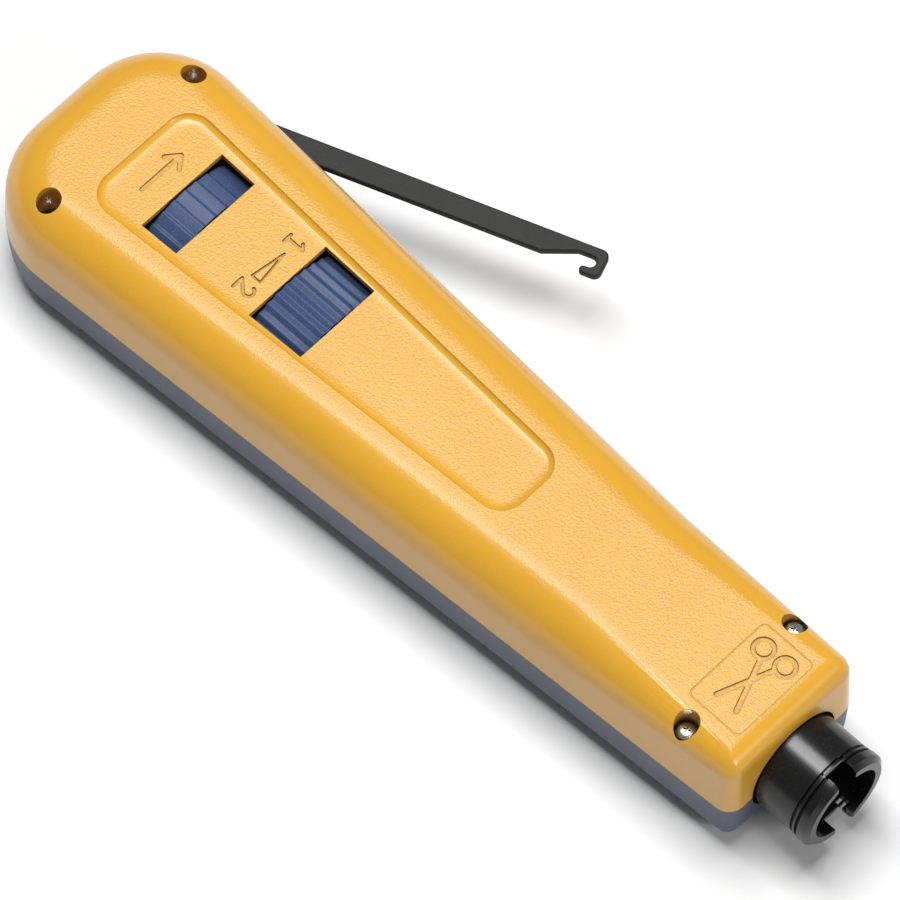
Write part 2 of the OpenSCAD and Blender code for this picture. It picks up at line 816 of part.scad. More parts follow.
module impact_selector() {
    z0 = -lug_w / 2 - free_gap;
    z1 = cam_arm * sin(impact_turn) + lug_w / 2 + free_gap;
    color(NAVY) difference() {
        thumb_piece(selector_rear, selector_front, impact_x, impact_window,
                    trail(impact_half, impact_turn), impact_half + 0.9, 2.1, false);
        for (s = [0, 180]) rotate([s, 0, 0]) translate([0, collar_r + 2, 0]) rotate([90, 0, 0])
            linear_extrude(5) polygon([
                [cam_x - cam_slope * z0, z0], [selector_front + 1, z0],
                [selector_front + 1, z1], [cam_x - cam_slope * z1, z1]
            ]);
        for (a = [0, impact_turn]) rotate([a + detent_a, 0, 0])
            translate([impact_x, -bead_at, 0]) rotate([0, 90, 0])
                cylinder(h = 3.6, r = bead_r + 0.3, center = true, $fn = 24);
    }
}

module release_ring() {
    color(NAVY) difference() {
        union() {
            thumb_piece(ring_rear, ring_front, release_x, release_window,
                        trail(release_half, release_turn), release_half + 0.6, 2.55, true);
            block([ring_rear, -ear_w / 2, ear_z], [ring_front, ear_w / 2, -collar_in_r - 0.5]);
        }
        block([ring_rear - 1, -bar_w / 2, bar_z - bar_t], [ring_front + 1, bar_w / 2, bar_z]);
    }
}

// Flat bar that carries the release turn forward to the lock ring
module release_bar() {
    color(STEEL) block([ring_rear, -bar_w / 2, bar_z - bar_t], [lock_x, bar_w / 2, bar_z]);
}

// A blade's plate in its own plane, with its eye at the origin
module blade_plate(z, angle, outline) {
    translate([butt_screw.x, butt_screw.y, z]) rotate(angle) difference() {
        linear_extrude(blade_t) union() {
            circle(r = eye_r + 0.6);
            polygon(outline);
        }
        translate([0, 0, -1]) cylinder(h = blade_t + 2, r = eye_r);
    }
}

// Hook blade outline: straight arm, drawn-in neck and a hooked end
function hook_outline() =
    let (h = blade_w / 2, e = hook_len, throat = 1.05, end_r = 1.3, tip_r = 0.65)
    concat(
        [[0, h], [0, -h], [e - 10.5, -h], [e - 4.9, 0.3]],
        arc([e - 2.5, 0.3 - throat], throat, 90, -90),
        arc([e - 3, 0.3 - 2 * throat - tip_r], tip_r, 90, 270),
        arc([e - end_r, 0.3 - 2 * throat - 2 * tip_r + end_r], end_r, -90, 0),
        arc([e - end_r, h - end_r], end_r, 0, 90)
    );

// Spudger outline: straight arm with a narrowed flat end
function spudger_outline() =
    let (h = blade_w / 2, e = spudger_len, r = 0.8)
    concat(
        [[0, h], [0, -h], [e - 8, -h]],
        arc([e - r, -h + 0.9 + r], r, -90, 0, 6),
        arc([e - r, h - r], r, 0, 90, 6)
    );

module hook_blade() {
    color(BLACK) blade_plate(hook_z, hook_open, hook_outline());
}

module spudger_blade() {
    color(BLACK) blade_plate(spudger_z, fold_angle, spudger_outline());
}

front_shell();
rear_shell();
nose_screws();
butt_screws();
nose_bearing();
bumper_ring();
guide_tube();
tube_plug();
blade_pivot();
pivot_washers();
detent_spring();
release_spring();
blade_socket();
socket_clip();
plunger_rod();
rod_pin();
return_spring();
lock_ring();
hammer();
drive_spring();
hammer_latch();
latch_spring();
spring_seat();
impact_selector();
release_ring();
release_bar();
hook_blade();
spudger_blade();
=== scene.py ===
"""Impact punch-down tool on a pale floor: moulded yellow and slate handle, navy thumb pieces,
black blade socket, bright screws and the folding hook swung out."""

import json
from math import cos, radians, sin, tau

import bmesh
import bpy
from mathutils import Matrix, Vector


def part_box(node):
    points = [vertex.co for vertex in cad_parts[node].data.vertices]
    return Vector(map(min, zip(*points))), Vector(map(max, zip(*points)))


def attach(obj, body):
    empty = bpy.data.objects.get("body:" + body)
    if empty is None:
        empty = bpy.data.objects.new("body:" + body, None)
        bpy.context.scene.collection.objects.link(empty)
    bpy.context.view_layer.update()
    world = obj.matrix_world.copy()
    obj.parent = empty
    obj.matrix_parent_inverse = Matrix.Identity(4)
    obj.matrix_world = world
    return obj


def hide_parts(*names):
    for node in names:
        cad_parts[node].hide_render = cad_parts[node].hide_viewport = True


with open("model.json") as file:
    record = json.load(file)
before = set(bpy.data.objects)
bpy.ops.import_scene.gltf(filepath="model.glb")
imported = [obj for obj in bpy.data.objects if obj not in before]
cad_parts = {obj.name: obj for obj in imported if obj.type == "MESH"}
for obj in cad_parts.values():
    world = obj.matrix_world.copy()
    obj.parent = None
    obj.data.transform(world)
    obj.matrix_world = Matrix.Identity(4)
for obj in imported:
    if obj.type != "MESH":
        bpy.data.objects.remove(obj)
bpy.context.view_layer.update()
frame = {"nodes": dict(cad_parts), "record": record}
nodes = frame["nodes"]

MM = 0.001

# Camera of the photograph; the lens is in mm, the distance in metres
LOOK_AT = Vector((-87.69, 1.54, -0.5)) * MM
ELEVATION = radians(62.238)
AZIMUTH = radians(44.39)
DISTANCE = 1.5
LENS = 378

# Places on the tool that the markings and fine forms are set from, in mm
TOP_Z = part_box("front_shell")[1][2] / MM
BACK_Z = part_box("rear_shell")[0][2] / MM
NOSE_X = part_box("front_shell")[1][0] / MM
PANEL_Z = TOP_Z - 0.95

# Clean-up of the CAD forms: distances in metres, angles in degrees
SAME_POINT = 5e-6
SLIVER = 1e-5
FLAT_WITHIN = 0.2
SHARP_ABOVE = 35
ROUND_ABOVE = 40
ROUND_STEPS = 2

# Markings, in mm: half widths of the strokes, places behind the window or the nose, depths
PLAIN_STROKE = 0.3
FINE_STROKE = 0.12
WEDGE_STROKE = 0.2
BOLD_STROKE = 0.42
BLADE_STROKE = 0.5
STROKE_END_STEPS = 6
ARROW_BEHIND = 8.4
SETTINGS_BEHIND = 9.4
SETTINGS_APART = 5.6
SETTING_WEDGE = (6.4, 0.9)
SCISSORS_BEHIND = 9.6
SCISSORS_ASIDE = 0.6
SCISSORS_FRAME = (8.6, 5.4, 1)
PANEL_MARK_DEPTH = 0.28
FRAME_DEPTH = 0.07
SCISSORS_DEPTH = 0.3

# Screws, in mm: the head's dome as (radius, height over the rim) pairs, from the crown out
SCREW_DOME = ((0, 1.9), (0.35, 1.89), (0.7, 1.85), (1.05, 1.77), (1.35, 1.62), (1.6, 1.4),
              (1.78, 1.1), (1.87, 0.8))
SCREW_HEAD = 1.9
SCREW_HEAD_R = 1.9
SCREW_SHANK_R = 1.3
SCREW_STEPS = 48
RECESS_BOTTOM_R = 0.25
RECESS_TOP_R = 1.15
RECESS_DEPTH = 1.3
RECESS_MIDDLE = 0.35
RECESS_SLIMNESS = 0.26
RECESS_TURNS = (20, 110)


# ---------------------------------------------------------------- mesh helpers

def new_piece(name, mesh):
    """An object of that mesh, linked to the scene."""
    piece = bpy.data.objects.new(name, mesh)
    bpy.context.scene.collection.objects.link(piece)
    return piece


def mesh_from(name, build):
    """A mesh filled in by build(bm), with its normals outward."""
    bm = bmesh.new()
    build(bm)
    bmesh.ops.recalc_face_normals(bm, faces=bm.faces)
    mesh = bpy.data.meshes.new(name)
    bm.to_mesh(mesh)
    bm.free()
    return mesh


def apply_modifiers(piece):
    """Bakes the piece's modifiers into its mesh."""
    depsgraph = bpy.context.evaluated_depsgraph_get()
    mesh = bpy.data.meshes.new_from_object(piece.evaluated_get(depsgraph))
    piece.modifiers.clear()
    piece.data = mesh


def cut(piece, cutter):
    """Cuts the cutter out of the piece and removes the cutter."""
    tool = piece.modifiers.new("cut", "BOOLEAN")
    tool.operation = "DIFFERENCE"
    tool.solver = "EXACT"
    tool.use_self = True
    tool.object = cutter
    apply_modifiers(piece)
    bpy.data.objects.remove(cutter)


def smooth(piece, angle=SHARP_ABOVE):
    """Smooth shading, with edges over the angle kept sharp and large faces kept flat."""
    piece.data.shade_smooth()
    piece.data.set_sharp_from_angle(angle=radians(angle))
    weighted = piece.modifiers.new("even normals", "WEIGHTED_NORMAL")
    weighted.keep_sharp = True


def round_edges(piece, width):
    """Small rounds, with their width in mm, on every sharp edge."""
    bevel = piece.modifiers.new("edge rounds", "BEVEL")
    bevel.width = width * MM
    bevel.segments = ROUND_STEPS
    bevel.limit_method = "ANGLE"
    bevel.angle_limit = radians(ROUND_ABOVE)
    bevel.use_clamp_overlap = True
    bevel.miter_outer = "MITER_ARC"


def moulding_of(node, name):
    """A new piece with a CAD node's form, its flat faces merged, for finer work on it."""
    def build(bm):
        bm.from_mesh(nodes[node].data)
        bmesh.ops.remove_doubles(bm, verts=bm.verts, dist=SAME_POINT)
        bmesh.ops.dissolve_degenerate(bm, edges=bm.edges, dist=SLIVER)
        bmesh.ops.dissolve_limit(bm, angle_limit=radians(FLAT_WITHIN), verts=bm.verts,
                                 edges=bm.edges)
    piece = new_piece(name, mesh_from(name, build))
    if "custom_normal" in piece.data.attributes:
        piece.data.attributes.remove(piece.data.attributes["custom_normal"])
    return piece


def prism(bm, outline, z0, z1):
    """Adds an upright prism over a closed outline of (x, y), in mm."""
    rings = [[bm.verts.new((x * MM, y * MM, z * MM)) for x, y in outline] for z in (z0, z1)]
    bm.faces.new(rings[0][::-1])
    bm.faces.new(rings[1])
    count = len(outline)
    for i in range(count):
        j = (i + 1) % count
        bm.faces.new((rings[0][i], rings[0][j], rings[1][j], rings[1][i]))


def lathe(bm, profile, count, centre):
    """Adds a solid of revolution about an upright axis from (radius, z) pairs, top to bottom."""
    x, y = centre
    rings = []
    for r, z in profile:
        if r == 0:
            rings.append([bm.verts.new((x * MM, y * MM, z * MM))])
            continue
        rings.append([bm.verts.new(((x + r * cos(tau * i / count)) * MM,
                                    (y + r * sin(tau * i / count)) * MM, z * MM))
                      for i in range(count)])
    for upper, lower in zip(rings, rings[1:]):
        for i in range(count):
            j = (i + 1) % count
            if len(upper) == 1:
                bm.faces.new((upper[0], lower[i], lower[j]))
            elif len(lower) == 1:
                bm.faces.new((upper[i], lower[0], upper[j]))
            else:
                bm.faces.new((upper[i], lower[i], lower[j], upper[j]))


# ---------------------------------------------------------------- outlines of the markings

def mark_point(place, u, v):
    """A point of a marking, which reads from +Y to -Y with its top towards the nose."""
    return (place[0] + v, place[1] - u)


def stroke(place, a, b, half=PLAIN_STROKE):
    """Round-ended stroke from a to b, as an outline."""
    a, b = Vector(a), Vector(b)
    along = (b - a).normalized()
    side = Vector((-along.y, along.x))
    turns = [radians(180 * i / STROKE_END_STEPS) for i in range(STROKE_END_STEPS + 1)]
    end = [b + half * (side * cos(t) + along * sin(t)) for t in turns]
    start = [a - half * (side * cos(t) + along * sin(t)) for t in turns]
    return [mark_point(place, p.x, p.y) for p in end + start]


def arc_strokes(place, centre, r, a0, a1, half, count):
    """Strokes along an arc, from a0 to a1 degrees."""
    points = [(centre[0] + r * cos(radians(a0 + (a1 - a0) * i / count)),
               centre[1] + r * sin(radians(a0 + (a1 - a0) * i / count)))
              for i in range(count + 1)]
    return [stroke(place, p, q, half) for p, q in zip(points, points[1:])]


def frame_outline(place, half_u, half_v, corner):
    """Strokes of a fine rounded rectangle."""
    strokes = []
    for su, sv, a0 in ((1, 1, 0), (-1, 1, 90), (-1, -1, 180), (1, -1, 270)):
        centre = (su * (half_u - corner), sv * (half_v - corner))
        strokes += arc_strokes(place, centre, corner, a0, a0 + 90, FINE_STROKE, 5)
    for s in (-1, 1):
        strokes.append(stroke(place, (-half_u + corner, s * half_v), (half_u - corner, s * half_v),
                              FINE_STROKE))
        strokes.append(stroke(place, (s * half_u, -half_v + corner), (s * half_u, half_v - corner),
                              FINE_STROKE))
    return strokes


def engrave(piece, outlines, surface_z, depth):
    """Engraves the outlines into a level face, each a hair deeper than the last, so that no two
    cutters share a plane."""
    def build(bm):
        for k, outline in enumerate(outlines):
            lift = 1e-3 * (k % 7)
            prism(bm, outline, surface_z - depth - lift, surface_z + 1 + lift)
    cut(piece, new_piece("engraving", mesh_from("engraving", build)))


def release_arrow(place):
    """Arrow in the direction that the release piece is pushed, towards +Y."""
    return [stroke(place, (-4.4, 0), end, BOLD_STROKE)
            for end in ((4.4, 0), (-2.3, 1.7), (-2.3, -1.7))]


def numeral_one(place):
    """1, for the low impact setting."""
    return [stroke(place, (0, -1.7), (0, 1.7)), stroke(place, (0, 1.7), (-0.9, 0.9)),
            stroke(place, (-0.8, -1.7), (0.8, -1.7))]


def numeral_two(place):
    """2, for the high impact setting."""
    return (arc_strokes(place, (0, 0.75), 0.95, 165, -35, PLAIN_STROKE, 9)
            + [stroke(place, (0.78, 0.2), (-1, -1.7)), stroke(place, (-1, -1.7), (1.05, -1.7))])


def setting_wedge(place, length, half):
    """Growing wedge between the two settings."""
    corners = ((-length / 2, 0), (length / 2, half), (length / 2, -half))
    return [stroke(place, a, b, WEDGE_STROKE)
            for a, b in zip(corners, corners[1:] + corners[:1])]


def scissors(place):
    """Open scissors: two crossed blades, each with a finger ring."""
    marks = []
    for s in (-1, 1):
        marks += arc_strokes(place, (-4.6, s * 2.3), 1.7, 0, 360, BOLD_STROKE, 22)
        marks.append(stroke(place, (-3.1, s * 1.45), (6.2, -s * 2.1), BLADE_STROKE))
    return marks


# ---------------------------------------------------------------- shader groups

def node_group(name, inputs, outputs):
    """A shader group with named inputs (name, kind, value) and outputs (name, kind)."""
    group = bpy.data.node_groups.new(name, "ShaderNodeTree")
    for label, kind, value in inputs:
        socket = group.interface.new_socket(label, in_out="INPUT",
                                            socket_type="NodeSocket" + kind)
        socket.default_value = value
    for label, kind in outputs:
        group.interface.new_socket(label, in_out="OUTPUT", socket_type="NodeSocket" + kind)
    return group, group.nodes.new("NodeGroupInput"), group.nodes.new("NodeGroupOutput")


def add(tree, kind, links=(), **settings):
    """A shader node with settings; links are (input, output socket or value) pairs."""
    made = tree.nodes.new("ShaderNode" + kind)
    for key, value in settings.items():
        setattr(made, key, value)
    for key, value in links:
        if isinstance(value, bpy.types.NodeSocket):
            tree.links.new(value, made.inputs[key])
        else:
            made.inputs[key].default_value = value
    return made


def maths(tree, operation, *values):
    """Output of a Math node."""
    return add(tree, "Math", list(enumerate(values)), operation=operation).outputs[0]


def mix_colour(tree, factor, a, b, blend="MIX"):
    """Output of a colour Mix node."""
    made = add(tree, "Mix", data_type="RGBA", blend_type=blend)
    colour_a, colour_b, result = made.inputs[6], made.inputs[7], made.outputs[2]
    for socket, value in ((made.inputs[0], factor), (colour_a, a), (colour_b, b)):
        if isinstance(value, bpy.types.NodeSocket):
            tree.links.new(value, socket)
        else:
            socket.default_value = value
    return result


def place_of(tree):
    """Position on the object, in metres."""
    return add(tree, "TexCoord").outputs["Object"]


def ranged(tree, value, low, high, to_low=0.0, to_high=1.0):
    """Output of a Map Range node: low to high becomes to_low to to_high."""
    return add(tree, "MapRange", [("Value", value), ("From Min", low), ("From Max", high),
                                  ("To Min", to_low), ("To Max", to_high)]).outputs[0]


def make_leather_grain():
    """Fine leather-like mould texture: rounded cells broken up by noise."""
    group, given, out = node_group(
        "leather_grain", [("Cells", "Float", 2700.0), ("Fineness", "Float", 6000.0)],
        [("Height", "Float"), ("Shade", "Float")])
    place = place_of(group)
    warp = add(group, "TexNoise", [("Vector", place), ("Scale", 2200.0), ("Detail", 2.0)])
    shifted = add(group, "VectorMath", [(0, warp.outputs["Color"]), (1, (0.0004, 0.0004, 0.0004))],
                  operation="MULTIPLY")
    bent = add(group, "VectorMath", [(0, place), (1, shifted.outputs[0])], operation="ADD")
    cells = add(group, "TexVoronoi",
                [("Vector", bent.outputs[0]), ("Scale", given.outputs["Cells"]),
                 ("Smoothness", 0.7)], feature="SMOOTH_F1")
    fine = add(group, "TexNoise", [("Vector", place), ("Scale", given.outputs["Fineness"]),
                                   ("Detail", 3.0), ("Roughness", 0.6)])
    dome = maths(group, "SUBTRACT", 1.0, cells.outputs["Distance"])
    height = maths(group, "MULTIPLY_ADD", fine.outputs["Fac"], 0.5, dome)
    group.links.new(height, out.inputs["Height"])
    group.links.new(maths(group, "MULTIPLY", height, 0.7), out.inputs["Shade"])
    return group


def make_edge_wear():
    """Mask of worn edges: where the rounded normal leaves the true one, broken up by noise."""
    group, given, out = node_group(
        "edge_wear", [("Radius", "Float", 0.0003), ("Amount", "Float", 1.0)], [("Mask", "Float")])
    rounded = add(group, "Bevel", [("Radius", given.outputs["Radius"])], samples=4)
    true = add(group, "NewGeometry").outputs["Normal"]
    dot = add(group, "VectorMath", [(0, rounded.outputs[0]), (1, true)], operation="DOT_PRODUCT")
    bend = ranged(group, dot.outputs["Value"], 0.995, 0.86)
    patches = add(group, "TexNoise", [("Vector", place_of(group)), ("Scale", 420.0),
                                      ("Detail", 4.0)])
    ragged = ranged(group, patches.outputs["Fac"], 0.42, 0.62)
    mask = maths(group, "MULTIPLY", bend, ragged)
    group.links.new(maths(group, "MULTIPLY", mask, given.outputs["Amount"]), out.inputs["Mask"])
    return group


def make_handling():
    """Broad smears and fine dust from use, as two masks."""
    group, given, out = node_group(
        "handling", [("Smears", "Float", 45.0), ("Specks", "Float", 5200.0)],
        [("Smear", "Float"), ("Dust", "Float")])
    place = place_of(group)
    broad = add(group, "TexNoise", [("Vector", place), ("Scale", given.outputs["Smears"]),
                                    ("Detail", 5.0), ("Distortion", 0.6)])
    group.links.new(broad.outputs["Fac"], out.inputs["Smear"])
    specks = add(group, "TexNoise", [("Vector", place), ("Scale", given.outputs["Specks"]),
                                     ("Detail", 1.0)])
    group.links.new(ranged(group, specks.outputs["Fac"], 0.66, 0.74), out.inputs["Dust"])
    return group


def make_painted_recess_shade():
    """Mask of deep and narrow places, where little light reaches, for painted shade."""
    group, given, out = node_group(
        "painted_recess_shade", [("Reach", "Float", 0.003), ("Amount", "Float", 1.0)], [("Mask", "Float")])
    open_sky = add(group, "AmbientOcclusion", [("Distance", given.outputs["Reach"])], samples=6)
    closed = ranged(group, open_sky.outputs["AO"], 0.75, 0.2)
    group.links.new(maths(group, "MULTIPLY", closed, given.outputs["Amount"]), out.inputs["Mask"])
    return group


def make_turned_grain():
    """Fine lines round the tool's long axis, as left by turning or grinding."""
    group, given, out = node_group(
        "turned_grain", [("Lines", "Float", 9000.0)], [("Height", "Float")])
    stretch = add(group, "VectorMath", [(0, place_of(group)), (1, (1.0, 0.03, 0.03))],
                  operation="MULTIPLY")
    lines = add(group, "TexNoise",
                [("Vector", stretch.outputs[0]), ("Scale", given.outputs["Lines"]),
                 ("Detail", 2.0)])
    group.links.new(lines.outputs["Fac"], out.inputs["Height"])
    return group


LEATHER_GRAIN = make_leather_grain()
EDGE_WEAR = make_edge_wear()
HANDLING = make_handling()
PAINTED_RECESS_SHADE = make_painted_recess_shade()
TURNED_GRAIN = make_turned_grain()


def use_group(tree, group, **values):
    """A group node in a material, with its inputs set."""
    made = tree.nodes.new("ShaderNodeGroup")
    made.node_tree = group
    for key, value in values.items():
        made.inputs[key].default_value = value
    return made


def begin(name, **surface):
    """A material with a Principled shader, its constants set on the shader itself."""
    material = bpy.data.materials.new(name)
    material.use_nodes = True
    tree = material.node_tree
    shader = tree.nodes["Principled BSDF"]
    for label, value in surface.items():
        shader.inputs[label.replace("_", " ")].default_value = value
    return material, tree, shader


def bump(tree, shader, height, depth, round_off=0.0):
    """Feeds a height into the shader's normal, over edges softened by round_off; both in mm."""
    links = [("Height", height), ("Distance", depth * MM), ("Strength", 1.0)]
    if round_off:
        rounded = add(tree, "Bevel", [("Radius", round_off * MM)], samples=4)
        links.append(("Normal", rounded.outputs[0]))
    tree.links.new(add(tree, "Bump", links).outputs[0], shader.inputs["Normal"])


def rgba(r, g, b):
    """A colour with full alpha."""
    return (r, g, b, 1.0)


# ---------------------------------------------------------------- finishes

def moulded_plastic(name, colour, worn, shade, painted_shade_colour, grain_depth, level_only, roughness,
                    grain_roughness, gloss=0.5):
    """Moulded plastic: grain, on level faces only or all over, smears, dust, worn edges, and
    painted shade in deep and narrow places."""
    material, tree, shader = begin(name, IOR=1.5, Specular_IOR_Level=gloss)
    grain = use_group(tree, LEATHER_GRAIN)
    wear = use_group(tree, EDGE_WEAR, Amount=0.5)
    use = use_group(tree, HANDLING)
    normal = add(tree, "TexCoord").outputs["Normal"]
    facing = add(tree, "SeparateXYZ", [(0, normal)]).outputs["Z"]
    level = ranged(tree, facing, 0.955, 0.995, 0.0 if level_only else 1.0)
    tone = ranged(tree, use.outputs["Smear"], 0.3, 0.7)
    body = mix_colour(tree, tone, rgba(*colour), rgba(*shade))
    pits = ranged(tree, grain.outputs["Shade"], 0.35, 0.9, 0.9, 1.04)
    pitted = mix_colour(tree, level, rgba(1, 1, 1), pits)
    body = mix_colour(tree, 1.0, body, pitted, "MULTIPLY")
    dust = maths(tree, "MULTIPLY", use.outputs["Dust"], 0.12)
    body = mix_colour(tree, dust, body, rgba(0.8, 0.78, 0.74))
    body = mix_colour(tree, wear.outputs["Mask"], body, rgba(*worn))
    # Painted shade: ambient occlusion darkens the colour in deep places, and again in narrow ones
    # such as engraved strokes
    deep = use_group(tree, PAINTED_RECESS_SHADE)
    body = mix_colour(tree, deep.outputs["Mask"], body, rgba(*painted_shade_colour))
    narrow = use_group(tree, PAINTED_RECESS_SHADE, Reach=0.7 * MM, Amount=0.7)
    body = mix_colour(tree, narrow.outputs["Mask"], body, rgba(*painted_shade_colour))
    tree.links.new(body, shader.inputs["Base Color"])
    rough = ranged(tree, level, 0.0, 1.0, roughness, grain_roughness)
    smeared = maths(tree, "MULTIPLY_ADD", use.outputs["Smear"], 0.1, rough)
    dulled = maths(tree, "MULTIPLY_ADD", deep.outputs["Mask"], 0.9, smeared)
    tree.links.new(dulled, shader.inputs["Roughness"])
    height = maths(tree, "MULTIPLY", grain.outputs["Height"], level)
    bump(tree, shader, height, grain_depth, round_off=0.2)
    return material


def blackened_steel(name, colour, roughness, worn, grain_depth, gloss):
    """Black-finished steel: fine grain, rubbed edges and finger smears."""
    material, tree, shader = begin(name, Specular_IOR_Level=gloss)
    grain = use_group(tree, LEATHER_GRAIN, Cells=2600.0, Fineness=6000.0)
    wear = use_group(tree, EDGE_WEAR, Radius=0.00025, Amount=0.55)
    use = use_group(tree, HANDLING, Smears=120.0)
    dust = maths(tree, "MULTIPLY", use.outputs["Dust"], 0.1)
    body = mix_colour(tree, dust, rgba(*colour), rgba(0.3, 0.29, 0.28))
    body = mix_colour(tree, wear.outputs["Mask"], body, rgba(*worn))
    tree.links.new(body, shader.inputs["Base Color"])
    tree.links.new(maths(tree, "MULTIPLY_ADD", use.outputs["Smear"], 0.14, roughness - 0.07),
                   shader.inputs["Roughness"])
    tree.links.new(maths(tree, "MULTIPLY", wear.outputs["Mask"], 0.8), shader.inputs["Metallic"])
    bump(tree, shader, grain.outputs["Height"], grain_depth, round_off=0.15)
    return material


def bare_metal(name, colour, tarnish, roughness, line_depth):
    """Bare metal: tool lines, tarnish in patches and brighter edges."""
    material, tree, shader = begin(name, Metallic=1.0)
    lines = use_group(tree, TURNED_GRAIN)
    wear = use_group(tree, EDGE_WEAR, Radius=0.0002, Amount=0.6)
    use = use_group(tree, HANDLING, Smears=160.0)
    patch = ranged(tree, use.outputs["Smear"], 0.45, 0.75)
    body = mix_colour(tree, patch, rgba(*colour), rgba(*tarnish))
    body = mix_colour(tree, wear.outputs["Mask"], body, rgba(0.86, 0.86, 0.86))
    tree.links.new(body, shader.inputs["Base Color"])
    tree.links.new(maths(tree, "MULTIPLY_ADD", use.outputs["Smear"], 0.2, roughness - 0.1),
                   shader.inputs["Roughness"])
    bump(tree, shader, lines.outputs["Height"], line_depth)
    return material


def soft_rubber(name):
    """Matt rubber with a fine bloom."""
    material, tree, shader = begin(name)
    use = use_group(tree, HANDLING, Smears=300.0)
    body = mix_colour(tree, use.outputs["Smear"], rgba(0.02, 0.02, 0.02),
                      rgba(0.06, 0.058, 0.055))
    tree.links.new(body, shader.inputs["Base Color"])
    tree.links.new(maths(tree, "MULTIPLY_ADD", use.outputs["Smear"], 0.2, 0.65),
                   shader.inputs["Roughness"])
    return material


def pale_floor():
    """Plain pale floor with a faint unevenness."""
    material, tree, shader = begin("pale_floor")
    use = use_group(tree, HANDLING, Smears=6.0)
    body = mix_colour(tree, use.outputs["Smear"], rgba(0.71, 0.71, 0.71), rgba(0.73, 0.73, 0.73))
    tree.links.new(body, shader.inputs["Base Color"])
    tree.links.new(maths(tree, "MULTIPLY_ADD", use.outputs["Smear"], 0.1, 0.8),
                   shader.inputs["Roughness"])
    return material


# Each plastic's dark recess colour is painted shade, laid into deep and narrow places
FINISHES = {
    "front_plastic": moulded_plastic(
        "front_plastic", colour=(0.61, 0.315, 0.026), worn=(0.7, 0.44, 0.1),
        shade=(0.585, 0.297, 0.022), painted_shade_colour=(0.075, 0.04, 0.012), grain_depth=0.055,
        level_only=True, roughness=0.18, grain_roughness=0.36, gloss=0.6),
    "rear_plastic": moulded_plastic(
        "rear_plastic", colour=(0.068, 0.078, 0.125), worn=(0.15, 0.16, 0.22),
        shade=(0.06, 0.07, 0.112), painted_shade_colour=(0.02, 0.022, 0.035), grain_depth=0.04,
        level_only=False, roughness=0.42, grain_roughness=0.42),
    "thumb_plastic": moulded_plastic(
        "thumb_plastic", colour=(0.036, 0.062, 0.15), worn=(0.12, 0.17, 0.3),
        shade=(0.032, 0.056, 0.135), painted_shade_colour=(0.006, 0.009, 0.02), grain_depth=0.008,
        level_only=False, roughness=0.4, grain_roughness=0.4, gloss=0.35),
    "black_plastic": moulded_plastic(
        "black_plastic", colour=(0.02, 0.02, 0.02), worn=(0.06, 0.06, 0.06),
        shade=(0.025, 0.025, 0.025), painted_shade_colour=(0.005, 0.005, 0.005), grain_depth=0.02,
        level_only=False, roughness=0.45, grain_roughness=0.45),
    "black_socket": blackened_steel(
        "black_socket", colour=(0.006, 0.006, 0.006), roughness=0.24, worn=(0.05, 0.05, 0.05),
        grain_depth=0.003, gloss=0.42),
    "blade_black": blackened_steel(
        "blade_black", colour=(0.012, 0.012, 0.0115), roughness=0.56, worn=(0.06, 0.06, 0.06),
        grain_depth=0.01, gloss=0.3),
    "screw_steel": bare_metal(
        "screw_steel", colour=(0.83, 0.83, 0.85), tarnish=(0.7, 0.7, 0.72), roughness=0.16,
        line_depth=0.002),
    "ground_steel": bare_metal(
        "ground_steel", colour=(0.6, 0.6, 0.62), tarnish=(0.42, 0.42, 0.43), roughness=0.32,
        line_depth=0.004),
    "spring_steel": bare_metal(
        "spring_steel", colour=(0.42, 0.42, 0.44), tarnish=(0.3, 0.29, 0.28), roughness=0.35,
        line_depth=0.003),
    "brass_parts": bare_metal(
        "brass_parts", colour=(0.72, 0.53, 0.24), tarnish=(0.5, 0.36, 0.16), roughness=0.3,
        line_depth=0.004),
    "rubber_ring": soft_rubber("rubber_ring"),
}


def finish(piece, slot):
    """Gives the piece the finish of a material slot of the record."""
    piece.data.materials.clear()
    piece.data.materials.append(FINISHES[slot])


# ---------------------------------------------------------------- pieces

DRESSED = set()


def place_piece(piece, node, body, slot):
    """Finishes the piece, lets it ride on its body and stand for its CAD node."""
    finish(piece, slot)
    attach(piece, body)
    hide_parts(node)
    DRESSED.add(node)


def window_middle(node):
    """Middle of a thumb piece and its window along the tool, in mm."""
    lo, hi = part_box(node)
    return (lo[0] + hi[0]) / 2 / MM


def make_front_shell():
    """The yellow half of the handle, with the marks of the panel and the nose engraved."""
    piece = moulding_of("front_shell", "front_moulding")
    arrow_x = window_middle("release_ring") - ARROW_BEHIND
    settings_x = window_middle("impact_selector") - SETTINGS_BEHIND
    scissors_x = NOSE_X - SCISSORS_BEHIND
    panel_marks = (release_arrow((arrow_x, 0)) + numeral_one((settings_x, SETTINGS_APART))
                   + numeral_two((settings_x, -SETTINGS_APART))
                   + setting_wedge((settings_x, 0), *SETTING_WEDGE))
    engrave(piece, panel_marks, PANEL_Z, PANEL_MARK_DEPTH)
    engrave(piece, frame_outline((scissors_x, 0), *SCISSORS_FRAME), TOP_Z, FRAME_DEPTH)
    engrave(piece, scissors((scissors_x, SCISSORS_ASIDE)), TOP_Z, SCISSORS_DEPTH)
    smooth(piece)
    place_piece(piece, "front_shell", "handle", "front_plastic")


def make_rear_shell():
    """The slate half of the handle."""
    piece = moulding_of("rear_shell", "rear_moulding")
    smooth(piece)
    place_piece(piece, "rear_shell", "handle", "rear_plastic")


def make_rounded(node, name, body, slot, width):
    """A piece of the node's form with its edges rounded."""
    piece = moulding_of(node, name)
    round_edges(piece, width)
    smooth(piece)
    place_piece(piece, node, body, slot)


